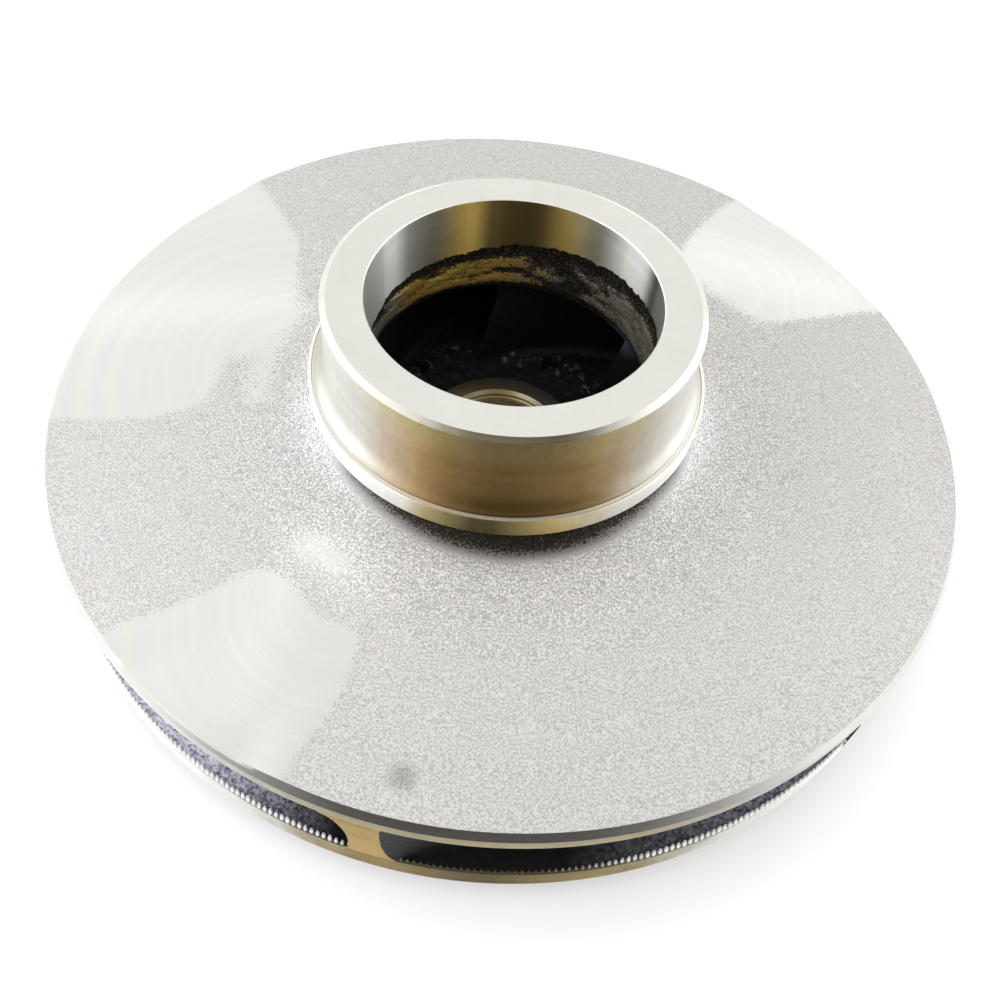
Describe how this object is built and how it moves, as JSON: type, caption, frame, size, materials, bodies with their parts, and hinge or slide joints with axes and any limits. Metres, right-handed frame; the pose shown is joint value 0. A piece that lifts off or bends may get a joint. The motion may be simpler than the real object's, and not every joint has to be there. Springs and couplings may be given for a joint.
{
  "type": "closed circulator pump impeller",
  "caption": "Closed bronze centrifugal pump impeller: turned suction neck, backward-swept vanes between front and back shrouds, and a counterbored hub.",
  "frame": {"origin": "on the shaft's axis, at the rear face of the hub, which is the lowest point of the part", "axes": "+Z along the shaft's axis, from the hub's rear face to the suction eye; +X and +Y in the plane of the shrouds"},
  "size_m": [0.16, 0.16, 0.0524],
  "materials": {
    "turned_bronze": "fine turned bronze, satin, with concentric tool marks",
    "blasted_bronze": "shot-blasted grey bronze casting, matt, with a fine grain",
    "cast_bronze": "dark as-cast bronze inside the water passages"
  },
  "bodies": {
    "root": {"eye_ring": "turned_bronze", "hub": "turned_bronze", "front_shroud": "blasted_bronze", "back_shroud": "blasted_bronze", "vane_1": "cast_bronze", "vane_2": "cast_bronze", "vane_3": "cast_bronze", "vane_4": "cast_bronze", "vane_5": "cast_bronze", "vane_6": "cast_bronze"}
  },
  "joints": []
}
